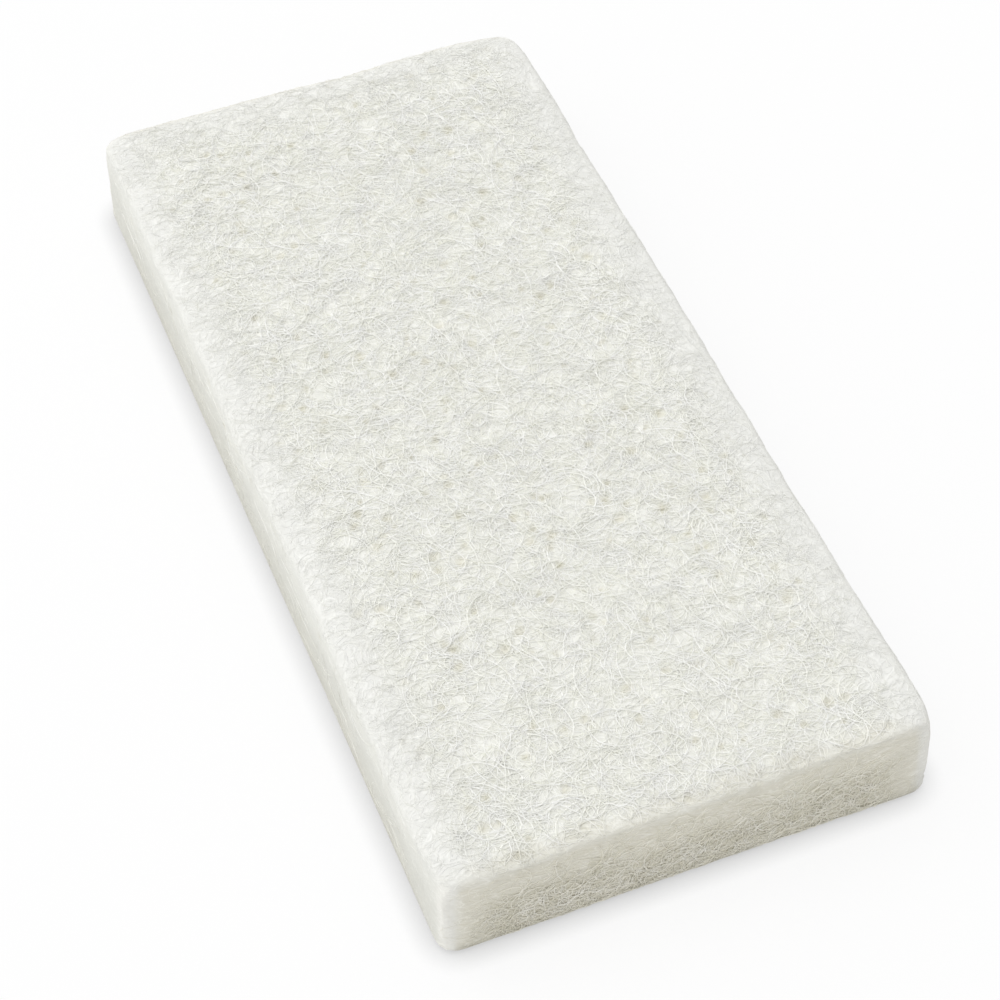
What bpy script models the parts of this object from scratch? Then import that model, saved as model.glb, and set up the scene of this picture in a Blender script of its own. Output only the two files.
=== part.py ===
"""Wood finishing pad: one block of bonded web, lying flat, +Z up, in metres.

The long side runs along Y. The underside rests on Z = 0, and the middle of the underside is the origin.
"""

import math

import bmesh
import bpy
from mathutils import Vector

# Size of the pad, before the unevenness of its web.
LENGTH = 0.254
WIDTH = 0.119
THICKNESS = 0.0275

# Rounding of the four standing corners, of the working rim on top and of the rim that lies on the bench.
CORNER_RADIUS = 0.0052
TOP_RIM_RADIUS = 0.0046
BOTTOM_RIM_RADIUS = 0.0026

# Soft forms: the top crowns, the sides hollow a little, and the top corners sit back from the lower ones.
CROWN_RISE = 0.0008
CROWN_START_SHARE = 0.5
SIDE_HOLLOW = 0.0004
CORNER_SETBACK = 0.0006
CORNER_REACH = 0.016

# Unevenness of the web: broad swells across the block, and the smaller lumps of the fibre clumps.
SWELL_DEPTH = 0.0012
SWELL_SPAN = 0.030
LUMP_DEPTH = 0.0016
LUMP_SPAN = 0.0075

# Heights between which the unevenness fades in, so that the rim on the bench stays true.
WEB_START_HEIGHT = 0.0022
WEB_FULL_HEIGHT = 0.0085

# Facets.
CORNER_SEGMENTS = 4
TOP_RIM_SEGMENTS = 5
BOTTOM_RIM_SEGMENTS = 3
CUTS_ALONG = 64
CUTS_ACROSS = 30
CUTS_UP = 3

# Points this near to a plane lie in it.
IN_PLANE = 1e-6

# Off-white bonded fibre, dry and without gloss.
WEB_COLOUR = (0.815, 0.823, 0.761, 1.0)
WEB_ROUGHNESS = 0.95

NODE_NAME = "finishing_pad"
COLLECTION_NAME = "wood_finishing_pad"


def clear_scene():
    """Removes whatever the scene starts with."""
    for obj in list(bpy.data.objects):
        bpy.data.objects.remove(obj, do_unlink=True)


def smoothstep(low, high, value):
    """Runs from 0 at low to 1 at high with a soft start and end."""
    share = min(max((value - low) / (high - low), 0.0), 1.0)
    return share * share * (3.0 - 2.0 * share)


def standing_edges(bm):
    """The edges that run straight up."""
    return [e for e in bm.edges if (e.verts[0].co - e.verts[1].co).xy.length < IN_PLANE]


def rim_edges(bm, height):
    """The edges of the outline at one height."""
    return [e for e in bm.edges if all(abs(v.co.z - height) < IN_PLANE for v in e.verts)]


def round_edges(bm, edges, radius, segments):
    """Rounds the edges with a bevel of circular section."""
    bmesh.ops.bevel(
        bm,
        geom=edges,
        offset=radius,
        offset_type="OFFSET",
        segments=segments,
        profile=0.5,
        affect="EDGES",
        clamp_overlap=True,
    )


def cut_evenly(bm, axis, low, high, cuts):
    """Cuts the block with parallel planes from low to high along one axis."""
    normal = Vector([1.0 if i == axis else 0.0 for i in range(3)])
    for i in range(cuts):
        at = normal * (low + (high - low) * i / (cuts - 1))
        bmesh.ops.bisect_plane(
            bm,
            geom=bm.verts[:] + bm.edges[:] + bm.faces[:],
            dist=IN_PLANE,
            plane_co=at,
            plane_no=normal,
        )


def clear_underside(bm):
    """Makes the flat underside one face again, so that it is truly flat."""
    flat = [f for f in bm.faces if all(abs(v.co.z) < IN_PLANE for v in f.verts)]
    bmesh.ops.dissolve_faces(bm, faces=flat, use_verts=False)


def shape_block(bm):
    """Gives the block its crown, its slightly hollow sides and its top corners that sit back a little."""
    half_width, half_length = WIDTH / 2, LENGTH / 2
    for vert in bm.verts:
        x, y, z = vert.co
        up = z / THICKNESS
        u, v = x / half_width, y / half_length
        fall = 1.0 - (1.0 - u * u) * (1.0 - v * v)
        near_x = smoothstep(half_width - CORNER_REACH, half_width, abs(x))
        near_y = smoothstep(half_length - CORNER_REACH, half_length, abs(y))
        hollow = SIDE_HOLLOW * math.sin(math.pi * up)
        corner = CORNER_SETBACK * near_x * near_y * up * up
        vert.co.x -= math.copysign(near_x * hollow + corner, x)
        vert.co.y -= math.copysign(near_y * hollow + corner, y)
        vert.co.z -= CROWN_RISE * fall * smoothstep(CROWN_START_SHARE, 1.0, up)


def block_mesh():
    """A box with rounded corners and rims, cut into even cells and softly shaped."""
    bm = bmesh.new()
    bmesh.ops.create_cube(bm, size=1.0)
    bmesh.ops.scale(bm, vec=(WIDTH, LENGTH, THICKNESS), verts=bm.verts)
    bmesh.ops.translate(bm, vec=(0.0, 0.0, THICKNESS / 2), verts=bm.verts)
    round_edges(bm, standing_edges(bm), CORNER_RADIUS, CORNER_SEGMENTS)
    round_edges(bm, rim_edges(bm, THICKNESS), TOP_RIM_RADIUS, TOP_RIM_SEGMENTS)
    round_edges(bm, rim_edges(bm, 0.0), BOTTOM_RIM_RADIUS, BOTTOM_RIM_SEGMENTS)
    reach_x = WIDTH / 2 - CORNER_RADIUS - WIDTH / CUTS_ACROSS / 2
    reach_y = LENGTH / 2 - CORNER_RADIUS - LENGTH / CUTS_ALONG / 2
    side_height = THICKNESS - TOP_RIM_RADIUS - BOTTOM_RIM_RADIUS
    step_up = side_height / (CUTS_UP + 1)
    cut_evenly(bm, 0, -reach_x, reach_x, CUTS_ACROSS)
    cut_evenly(bm, 1, -reach_y, reach_y, CUTS_ALONG)
    cut_evenly(bm, 2, BOTTOM_RIM_RADIUS + step_up, THICKNESS - TOP_RIM_RADIUS - step_up, CUTS_UP)
    clear_underside(bm)
    shape_block(bm)
    bmesh.ops.recalc_face_normals(bm, faces=bm.faces)
    for face in bm.faces:
        face.smooth = True
    mesh = bpy.data.meshes.new(NODE_NAME)
    bm.to_mesh(mesh)
    bm.free()
    return mesh


def add_web_group(obj):
    """Weights that leave the underside alone and reach full strength above the lower rim."""
    group = obj.vertex_groups.new(name="web")
    for vert in obj.data.vertices:
        group.add([vert.index], smoothstep(WEB_START_HEIGHT, WEB_FULL_HEIGHT, vert.co.z), "REPLACE")
    return group.name


def add_unevenness(obj, name, span, depth, octaves, group_name):
    """Pushes the surface in and out by cloud noise of the given span."""
    texture = bpy.data.textures.new(name, type="CLOUDS")
    texture.noise_scale = span
    texture.noise_depth = octaves
    texture.noise_basis = "ORIGINAL_PERLIN"
    displace = obj.modifiers.new(name, "DISPLACE")
    displace.texture = texture
    displace.texture_coords = "LOCAL"
    displace.direction = "NORMAL"
    displace.vertex_group = group_name
    displace.mid_level = 0.5
    displace.strength = depth


def settle(mesh):
    """Moves the uneven block so that the middle of its box stands over the origin, on Z = 0."""
    low = Vector([min(v.co[i] for v in mesh.vertices) for i in range(3)])
    high = Vector([max(v.co[i] for v in mesh.vertices) for i in range(3)])
    middle = (low + high) / 2
    for vert in mesh.vertices:
        vert.co -= Vector((middle.x, middle.y, low.z))


def web_material():
    """Matt off-white fibre."""
    material = bpy.data.materials.new("bonded off-white fibre")
    material.use_nodes = True
    shader = material.node_tree.nodes["Principled BSDF"]
    shader.inputs["Base Color"].default_value = WEB_COLOUR
    shader.inputs["Roughness"].default_value = WEB_ROUGHNESS
    shader.inputs["Metallic"].default_value = 0.0
    material.diffuse_color = WEB_COLOUR
    return material


def build_pad():
    """The pad as one closed mesh in its own collection."""
    collection = bpy.data.collections.new(COLLECTION_NAME)
    bpy.context.scene.collection.children.link(collection)
    rough = bpy.data.objects.new(NODE_NAME + "_rough", block_mesh())
    collection.objects.link(rough)
    group_name = add_web_group(rough)
    add_unevenness(rough, "swell", SWELL_SPAN, SWELL_DEPTH, 1, group_name)
    add_unevenness(rough, "lumps", LUMP_SPAN, LUMP_DEPTH, 2, group_name)
    graph = bpy.context.evaluated_depsgraph_get()
    mesh = bpy.data.meshes.new_from_object(rough.evaluated_get(graph))
    bpy.data.objects.remove(rough, do_unlink=True)
    settle(mesh)
    mesh.name = NODE_NAME
    mesh.materials.clear()
    mesh.materials.append(web_material())
    pad = bpy.data.objects.new(NODE_NAME, mesh)
    collection.objects.link(pad)
    return pad


def main():
    clear_scene()
    build_pad()


main()
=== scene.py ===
import logging
import math
from dataclasses import dataclass
from enum import Enum
from typing import Any

import bmesh
import bpy
import numpy as np
from mathutils import Matrix, Vector


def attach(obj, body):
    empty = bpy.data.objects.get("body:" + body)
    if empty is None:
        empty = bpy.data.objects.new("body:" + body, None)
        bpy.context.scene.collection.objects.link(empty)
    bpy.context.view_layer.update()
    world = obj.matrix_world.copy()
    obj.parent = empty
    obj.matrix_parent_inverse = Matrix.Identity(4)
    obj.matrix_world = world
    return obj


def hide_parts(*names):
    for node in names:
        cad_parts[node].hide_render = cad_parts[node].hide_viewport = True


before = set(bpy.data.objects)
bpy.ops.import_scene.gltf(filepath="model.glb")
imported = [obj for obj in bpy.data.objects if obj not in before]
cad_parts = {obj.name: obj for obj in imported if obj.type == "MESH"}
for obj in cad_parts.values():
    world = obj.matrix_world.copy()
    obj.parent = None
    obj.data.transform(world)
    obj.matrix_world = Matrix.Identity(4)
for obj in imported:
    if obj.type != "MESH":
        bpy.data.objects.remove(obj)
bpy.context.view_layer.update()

NODE = "finishing_pad"
BODY = "root"
MM = 0.001

Limits = tuple[float, float]

# Points of the CAD node's loose triangles that lie this near to each other are one point.
SAME_POINT = 1e-7
# A pore reaches at least this share of the widest pore's reach.
LEAST_PORE_SHARE = 0.5
# Blender's noise lies about this value, mostly between the two limits, and climbs this much over one span.
NOISE_MIDDLE = 0.5
NOISE_LIMITS = (0.3, 0.7)
NOISE_CLIMB = 0.9

LOG = logging.getLogger("finishing_pad")


class Region(Enum):
    """Part of the pad on which fibres start. The value is the name of the weight that the carrier holds."""

    TOP = "on_top"
    RIM = "on_rim"
    LONG_SIDES = "on_long_sides"
    SHORT_ENDS = "on_short_ends"
    # Also weighs the body's painted shade low on the short ends.
    LOWER_ENDS = "on_lower_ends"
    UNDERSIDE = "on_underside"


def linear(code: str) -> tuple[float, float, float, float]:
    """Turns an sRGB hex colour to linear.

    Args:
        code: six hex digits.

    Returns:
        Red, green, blue and an alpha of 1.
    """
    shares = [int(code[i:i + 2], 16) / 255 for i in (0, 2, 4)]
    red, green, blue = (s / 12.92 if s <= 0.04045 else ((s + 0.055) / 1.055) ** 2.4 for s in shares)
    return red, green, blue, 1.0


def add_node(
    tree: bpy.types.NodeTree,
    kind: str,
    settings: dict[str, Any] | None = None,
    inputs: dict[Any, Any] | None = None,
    output: int | str = 0,
) -> bpy.types.NodeSocket | None:
    """Adds one node with its settings and links.

    Args:
        tree: the tree that gets the node.
        kind: Blender's name for the node.
        settings: values of the node's own properties.
        inputs: by name or place, a value, a socket to link from, or a list of sockets.
        output: name or place of the output that is wanted.

    Returns:
        That output socket, or None from a node that has no outputs.
    """
    node = tree.nodes.new(kind)
    for name, value in (settings or {}).items():
        setattr(node, name, value)
    for key, value in (inputs or {}).items():
        for single in value if isinstance(value, list) else [value]:
            if isinstance(single, bpy.types.NodeSocket):
                tree.links.new(single, node.inputs[key])
            else:
                node.inputs[key].default_value = single
    return node.outputs[output] if node.outputs else None


def start_tree(
    name: str, inputs: dict[str, str]
) -> tuple[bpy.types.NodeTree, dict[str, bpy.types.NodeSocket]]:
    """Starts a Geometry Nodes tree that takes a carrier mesh and named sizes.

    Args:
        name: name of the tree.
        inputs: name and socket type of each input after the carrier.

    Returns:
        The tree, and its input sockets by name.
    """
    tree = bpy.data.node_groups.new(name, "GeometryNodeTree")
    tree.interface.new_socket("Carrier", in_out="INPUT", socket_type="NodeSocketGeometry")
    for label, kind in inputs.items():
        tree.interface.new_socket(label, in_out="INPUT", socket_type="NodeSocket" + kind)
    tree.interface.new_socket("Result", in_out="OUTPUT", socket_type="NodeSocketGeometry")
    group = tree.nodes.new("NodeGroupInput")
    return tree, {socket.name: socket for socket in group.outputs if socket.name}


def end_tree(tree: bpy.types.NodeTree, shape: bpy.types.NodeSocket, material: bpy.types.NodeSocket) -> None:
    """Ends a tree in Realize Instances and Set Material.

    Args:
        tree: the tree to end.
        shape: its geometry.
        material: the input that holds the material.
    """
    real = add_node(tree, "GeometryNodeRealizeInstances", inputs={0: shape})
    dressed = add_node(tree, "GeometryNodeSetMaterial", inputs={"Geometry": real, "Material": material})
    tree.links.new(dressed, tree.nodes.new("NodeGroupOutput").inputs[0])


def run_tree(
    mesh: bpy.types.Mesh, tree: bpy.types.NodeTree, values: dict[str, Any], name: str
) -> bpy.types.Mesh:
    """Runs a Geometry Nodes tree on a carrier.

    Args:
        mesh: the carrier.
        tree: the tree to run.
        values: a value for each named input.
        name: name of the resulting mesh.

    Returns:
        The result as a plain mesh.
    """
    carrier = bpy.data.objects.new(name + "_carrier", mesh)
    bpy.context.scene.collection.objects.link(carrier)
    modifier = carrier.modifiers.new(tree.name, "NODES")
    modifier.node_group = tree
    for item in tree.interface.items_tree:
        if item.in_out == "INPUT" and item.name in values:
            modifier[item.identifier] = values[item.name]
    graph = bpy.context.evaluated_depsgraph_get()
    result = bpy.data.meshes.new_from_object(
        carrier.evaluated_get(graph), preserve_all_data_layers=True, depsgraph=graph
    )
    result.name = name
    carrier.modifiers.remove(modifier)
    bpy.data.objects.remove(carrier, do_unlink=True)
    return result


def fade(low: float, high: float, value: np.ndarray) -> np.ndarray:
    """Runs from 0 at low to 1 at high with a soft start and end."""
    share = np.clip((value - low) / (high - low), 0.0, 1.0)
    return share * share * (3.0 - 2.0 * share)


@dataclass(frozen=True)
class Pores:
    """Open spots of the web, where the strands part. They are the same for the body and for the fibres."""

    span: float = 5.5 * MM
    reach: float = 2.15 * MM
    depth: float = 0.35 * MM


@dataclass(frozen=True)
class StrandFinish:
    """Crimped polyester staple, sprayed with resin and oven bonded.

    The fibres are drawn white and matt, and the thin coat of resin leaves a faint soft gloss on them. A dry
    coat of resin also tints some of them a little warmer than others. Each fibre lies between the pale and
    the warm tint, and patches of them lean to one or the other. Painted shade darkens the fibres in the
    pores and leans them to the warm tint low on the cut sides, towards the bench. Fibres that leave their own
    face take the rim's tint, painted shade where they turn over a rim, and fibres on a short end take the
    turned tint, painted shade of the short ends.
    """

    name: str
    pale: str
    warm: str
    # Painted shade: the tint of fibres that cross a pore, and how far they take it.
    pore: str = "E5E2D1"
    pore_share: float = 0.6
    # Painted shade: the darker tint of fibres where they leave their own face over a rim, and how far they take
    # it.
    rim: str = "ECECE8"
    rim_share: float = 0.8
    # Painted shade: the darker, warmer tint of fibres on a short end, and how far they take it.
    turned: str = "E6E4DA"
    turned_share: float = 0.85
    # Painted shade: below the bench height, fibres lean this much further to the warm, darker tint.
    bench_shade_share: float = 0.0
    bench_shade_height: float = 18.0 * MM
    mottle_span: float = 3.2 * MM
    mottle_limits: Limits = (0.35, 0.68)
    mottle_share: float = 0.45
    roughness: float = 0.62
    ior: float = 1.5
    specular: float = 0.35

    def build(self, pores: Pores) -> bpy.types.Material:
        """Makes the material. Each fibre holds its own tint, and patches of the web are paler than others.

        Args:
            pores: the open spots, where the fibres take the painted pore shade.

        Returns:
            The material.
        """
        material = bpy.data.materials.new(self.name)
        material.use_nodes = True
        tree = material.node_tree
        tree.nodes.clear()
        place = add_node(tree, "ShaderNodeTexCoord", output="Object")
        tint = add_node(tree, "ShaderNodeAttribute", {"attribute_name": "tint"}, output="Fac")
        patches = add_node(
            tree,
            "ShaderNodeTexNoise",
            {"noise_dimensions": "3D"},
            {"Vector": place, "Scale": 1 / self.mottle_span, "Detail": 2.0, "Roughness": 0.5},
        )
        clump = add_node(
            tree,
            "ShaderNodeMapRange",
            {"interpolation_type": "SMOOTHSTEP"},
            {"Value": patches, "From Min": self.mottle_limits[0], "From Max": self.mottle_limits[1],
             "To Min": -self.mottle_share, "To Max": self.mottle_share},
        )
        # Painted shade: lower down, towards the bench, each fibre leans further to the warm tint.
        height = add_node(tree, "ShaderNodeSeparateXYZ", inputs={0: place}, output=2)
        low = add_node(
            tree,
            "ShaderNodeMapRange",
            {"interpolation_type": "SMOOTHSTEP"},
            {"Value": height, "From Max": self.bench_shade_height, "To Min": self.bench_shade_share, "To Max": 0.0},
        )
        share = add_node(tree, "ShaderNodeMath", {"operation": "ADD"}, {0: tint, 1: clump})
        share = add_node(tree, "ShaderNodeMath", {"operation": "ADD", "use_clamp": True}, {0: share, 1: low})
        colour = add_node(
            tree,
            "ShaderNodeMix",
            {"data_type": "RGBA"},
            {0: share, 6: linear(self.pale), 7: linear(self.warm)},
            output=2,
        )
        pit = pore_share(tree, place, {"Pore span": pores.span, "Pore reach": pores.reach})
        leaving = add_node(tree, "ShaderNodeAttribute", {"attribute_name": "leaving"}, output="Fac")
        turned = add_node(tree, "ShaderNodeAttribute", {"attribute_name": "end_share"}, output="Fac")
        # Painted shade: fibres in the pores, fibres that leave their face over a rim and fibres on the short
        # ends take darker tints.
        for spot, most, code in (
            (pit, self.pore_share, self.pore),
            (leaving, self.rim_share, self.rim),
            (turned, self.turned_share, self.turned),
        ):
            share = add_node(tree, "ShaderNodeMath", {"operation": "MULTIPLY"}, {0: spot, 1: most})
            colour = add_node(
                tree, "ShaderNodeMix", {"data_type": "RGBA"}, {0: share, 6: colour, 7: linear(code)}, output=2
            )
        surface = add_node(
            tree,
            "ShaderNodeBsdfPrincipled",
            inputs={
                "Base Color": colour,
                "Roughness": self.roughness,
                "IOR": self.ior,
                "Specular IOR Level": self.specular,
            },
        )
        add_node(tree, "ShaderNodeOutputMaterial", inputs={"Surface": surface})
        return material


@dataclass(frozen=True)
class WebFace:
    """Colours of one face of the web, between its strands and on them, which paint the light or shade on that
    face.

    The weight is the name of the attribute that says where the face is.
    """

    weight: str
    depth: str
    strand: str


@dataclass(frozen=True)
class StrandPattern:
    """One layer of strands drawn on the mass of the web.

    The span is the size of its swirls, the turns are the strands in each, the strength is how much they show,
    and the offset makes the layer a different one from the others.
    """

    span: float
    turns: float
    strength: float
    offset: float


@dataclass(frozen=True)
class BodyFinish:
    """The same bonded staple seen as a mass, below the strands that stand free.

    The web is laid down in layers and pressed a little, so on the faces the strands swirl, and on the cut
    sides the layers show edge on, as fine lines that run level. Low on the short ends the blade pulled them
    into curls. Between the drawn strands the colour is painted shade, darker and warmer, as light that enters
    the web comes back warmer from its depth. Each face's colours paint the light and shade on it: darker in
    the pores, on the long sides, towards the bench and on the short ends, paler on the rims that face up and
    on the upright corners. Later faces are laid over earlier ones. The real strands are finer than the drawn
    ones, which are as coarse as they need to be to show.
    """

    name: str = "bonded polyester staple, dense web"
    # Painted shade: the web's tone between the drawn strands is darker and warmer than on them.
    depth: str = "E7E7E0"
    strand: str = "F1F1EC"
    faces: tuple[WebFace, ...] = (
        # Painted shade in the pores.
        WebFace("pore", "DCD9C8", "E9E7DA"),
        # Painted light: the rims that face up, and the back rim, keep a pale, cool tone, lighter than the
        # painted shade of the sides.
        WebFace("on_light_rims", "E6E6E2", "EFEFEB"),
        # Painted shade on the long sides, weaker on their upper half and near the ends.
        WebFace("on_side_faces", "D8D8D1", "E0E0DA"),
        # Painted shade: darker towards the bottom of the long sides, by the bench.
        WebFace("near_bench", "CDCCC3", "D7D6CD"),
        # Painted shade: darker, warmer short ends and the front end's rim.
        WebFace("on_end_faces", "DFDCCF", "F0EEE4"),
        # Painted shade: darker low on the short ends, deepest between the curls.
        WebFace("on_lower_ends", "C5C1B1", "E5E2D4"),
        # Painted shade: darkest at the foot of the short ends.
        WebFace("at_bench", "B0AD9E", "CDCABD"),
        # Painted light: paler on the upright corners.
        WebFace("on_corners", "EBEAE4", "F6F5EF"),
    )
    roughness: float = 0.85
    ior: float = 1.5
    specular: float = 0.2
    swirls: tuple[StrandPattern, ...] = (
        StrandPattern(5.0 * MM, 5.0, 0.75, 1.3),
        StrandPattern(3.2 * MM, 3.5, 0.70, 5.9),
        StrandPattern(8.0 * MM, 8.0, 0.85, 9.1),
        StrandPattern(13.0 * MM, 7.0, 1.0, 14.7),
    )
    layers: tuple[StrandPattern, ...] = (
        StrandPattern(6.0 * MM, 4.0, 0.6, 21.3),
        StrandPattern(10.0 * MM, 6.0, 0.7, 25.9),
        StrandPattern(16.0 * MM, 7.0, 0.9, 29.1),
    )
    layer_squash: float = 5.0
    strand_width: float = 0.18 * MM
    strand_detail: float = 1.0
    strand_roughness: float = 0.35
    relief: float = 0.15 * MM
    side_relief: float = 0.06 * MM

    def build(self) -> bpy.types.Material:
        """Makes the material."""
        material = bpy.data.materials.new(self.name)
        material.use_nodes = True
        tree = material.node_tree
        tree.nodes.clear()
        place = add_node(tree, "ShaderNodeTexCoord", output="Object")
        level = add_node(
            tree, "ShaderNodeVectorMath", {"operation": "MULTIPLY"},
            {0: place, 1: (1.0, 1.0, self.layer_squash)},
        )
        swirls = self.strand_layers(tree, place, self.swirls)
        layers = self.strand_layers(tree, level, self.layers)
        layered = add_node(tree, "ShaderNodeAttribute", {"attribute_name": "layered"}, output="Fac")
        lines = add_node(tree, "ShaderNodeMix", {"data_type": "FLOAT"}, {0: layered, 2: swirls, 3: layers})
        # Painted light and shade: each face's colours are laid over the web's own, later faces over earlier
        # ones.
        depth = strand = None
        for face in self.faces:
            share = add_node(tree, "ShaderNodeAttribute", {"attribute_name": face.weight}, output="Fac")
            depth = add_node(
                tree, "ShaderNodeMix", {"data_type": "RGBA"},
                {0: share, 6: depth or linear(self.depth), 7: linear(face.depth)}, output=2,
            )
            strand = add_node(
                tree, "ShaderNodeMix", {"data_type": "RGBA"},
                {0: share, 6: strand or linear(self.strand), 7: linear(face.strand)}, output=2,
            )
        # Between the drawn strands the colour is the darker depth, painted shade.
        colour = add_node(
            tree, "ShaderNodeMix", {"data_type": "RGBA"}, {0: lines, 6: depth, 7: strand}, output=2
        )
        relief = add_node(
            tree, "ShaderNodeMapRange",
            inputs={"Value": layered, "To Min": self.relief, "To Max": self.side_relief},
        )
        bump = add_node(tree, "ShaderNodeBump", inputs={"Strength": 1.0, "Distance": relief, "Height": lines})
        surface = add_node(
            tree,
            "ShaderNodeBsdfPrincipled",
            inputs={
                "Base Color": colour,
                "Roughness": self.roughness,
                "IOR": self.ior,
                "Specular IOR Level": self.specular,
                "Normal": bump,
            },
        )
        add_node(tree, "ShaderNodeOutputMaterial", inputs={"Surface": surface})
        return material

    def strand_layers(
        self, tree: bpy.types.NodeTree, place: bpy.types.NodeSocket, patterns: tuple[StrandPattern, ...]
    ) -> bpy.types.NodeSocket:
        """Lays several layers of swirling strands over each other.

        Args:
            tree: the material's tree.
            place: coordinates in metres.
            patterns: the layers.

        Returns:
            A socket that is 0 between strands and up to 1 on them.
        """
        lines = self.strand_lines(tree, place, patterns[0])
        for pattern in patterns[1:]:
            more = self.strand_lines(tree, place, pattern)
            lines = add_node(tree, "ShaderNodeMath", {"operation": "MAXIMUM"}, {0: lines, 1: more})
        return lines

    def strand_lines(
        self, tree: bpy.types.NodeTree, place: bpy.types.NodeSocket, pattern: StrandPattern
    ) -> bpy.types.NodeSocket:
        """Draws one layer of swirling strands, as the lines where a smooth noise passes through set levels.

        Args:
            tree: the material's tree.
            place: coordinates in metres.
            pattern: the layer.

        Returns:
            A socket that is 0 between strands and up to the pattern's strength on them.
        """
        moved = add_node(
            tree, "ShaderNodeVectorMath", {"operation": "ADD"}, {0: place, 1: (pattern.offset,) * 3}
        )
        noise = add_node(
            tree, "ShaderNodeTexNoise", {"noise_dimensions": "3D"},
            {"Vector": moved, "Scale": 1 / pattern.span, "Detail": self.strand_detail,
             "Roughness": self.strand_roughness},
        )
        levels = add_node(tree, "ShaderNodeMath", {"operation": "MULTIPLY"}, {0: noise, 1: 2.0 * pattern.turns})
        wave = add_node(tree, "ShaderNodeMath", {"operation": "PINGPONG"}, {0: levels, 1: 1.0})
        half_width = NOISE_CLIMB / pattern.span * self.strand_width * pattern.turns
        return add_node(
            tree,
            "ShaderNodeMapRange",
            {"interpolation_type": "SMOOTHSTEP"},
            {"Value": wave, "From Min": 0.0, "From Max": half_width * 2, "To Min": pattern.strength,
             "To Max": 0.0},
        )


@dataclass(frozen=True)
class CornerPull:
    """How far one corner of the soft block lies from its true place, as seen in the photograph.

    The side is 1 on the right and -1 on the left, the end is 1 at the back and -1 at the front, and the shift
    is the way that the corner moves across and along the pad.
    """

    side: float
    end: float
    shift: tuple[float, float]


@dataclass(frozen=True)
class FaceLimits:
    """Where one face of the pad passes into the next, mostly as limits between which a weight fades.

    A slope is the upward share of the surface's direction, a height is a share of the pad's thickness, an
    inset is a distance from the outline, and a corner or an end is a distance from a long side or a short end.
    """

    turn_to_side: Limits = (-0.95, -0.3)
    least_lean: float = 0.2
    upright_slope: Limits = (0.6, 0.97)
    upright_slope_at_ends: Limits = (0.2, 0.02)
    back_half: Limits = (-20 * MM, 20 * MM)
    upper_half: Limits = (0.45, 0.95)
    lower_end_height: Limits = (0.35, 0.7)
    lower_end_corner: Limits = (5 * MM, 18 * MM)
    fringe_depth: float = 1.3 * MM
    fringe_waves: Limits = (2.7 * MM, 1.16 * MM)
    fringe_starts: Limits = (1.0, 4.0)
    # The rims of the short ends, which take the ends' painted shade.
    end_rim_slope: Limits = (0.2, 0.9)
    end_rim_inset: Limits = (2.5 * MM, 6.5 * MM)
    end_rim_corner: Limits = (3 * MM, 14 * MM)
    end_rim_share: float = 0.5
    top_slope: Limits = (0.75, 0.98)
    top_slope_at_ends: float = 0.1
    top_corner: Limits = (2 * MM, 11 * MM)
    top_at_corner: float = 0.4
    rim_slope: Limits = (0.6, 0.98)
    rim_slope_at_ends: float = 0.27
    rim_inset: Limits = (3 * MM, 9 * MM)
    rim_at_sides: float = 0.25
    long_side_end: Limits = (3 * MM, 18 * MM)
    short_end_corner: Limits = (5 * MM, 22 * MM)
    underside_slope: Limits = (0.5, 0.9)
    # Limits of the painted shade on the long sides and towards the bench, and of the painted light on the rims
    # and upright corners.
    side_face_end: Limits = (0.0, 9 * MM)
    side_face_at_end: float = 0.3
    side_face_loss: float = 0.55
    light_rim_slope: Limits = (0.0, 0.85)
    light_rim_corner: Limits = (6 * MM, 19 * MM)
    back_rim_inset: Limits = (4 * MM, 18 * MM)
    near_bench_height: Limits = (0.0, 0.75)
    near_bench_end: Limits = (0.0, 40 * MM)
    near_bench_lead: float = 6 * MM
    at_bench_height: Limits = (0.0, 0.14)
    corner_slope: Limits = (0.5, 0.9)
    corner_from_end: Limits = (-0.97, -0.25)
    corner_to_side: Limits = (0.2, 0.8)
    layer_loss: float = 0.85
    filled_rim_turn: Limits = (0.05, 0.5)
    filled_rim_height: Limits = (0.1, 0.3)
    quiet_rim_corner: Limits = (4 * MM, 16 * MM)
    quiet_end_corner: Limits = (5 * MM, 18 * MM)
    quiet_side_end: Limits = (6 * MM, 20 * MM)
    quiet_shares: tuple[float, float, float] = (0.75, 0.6, 0.85)


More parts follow.
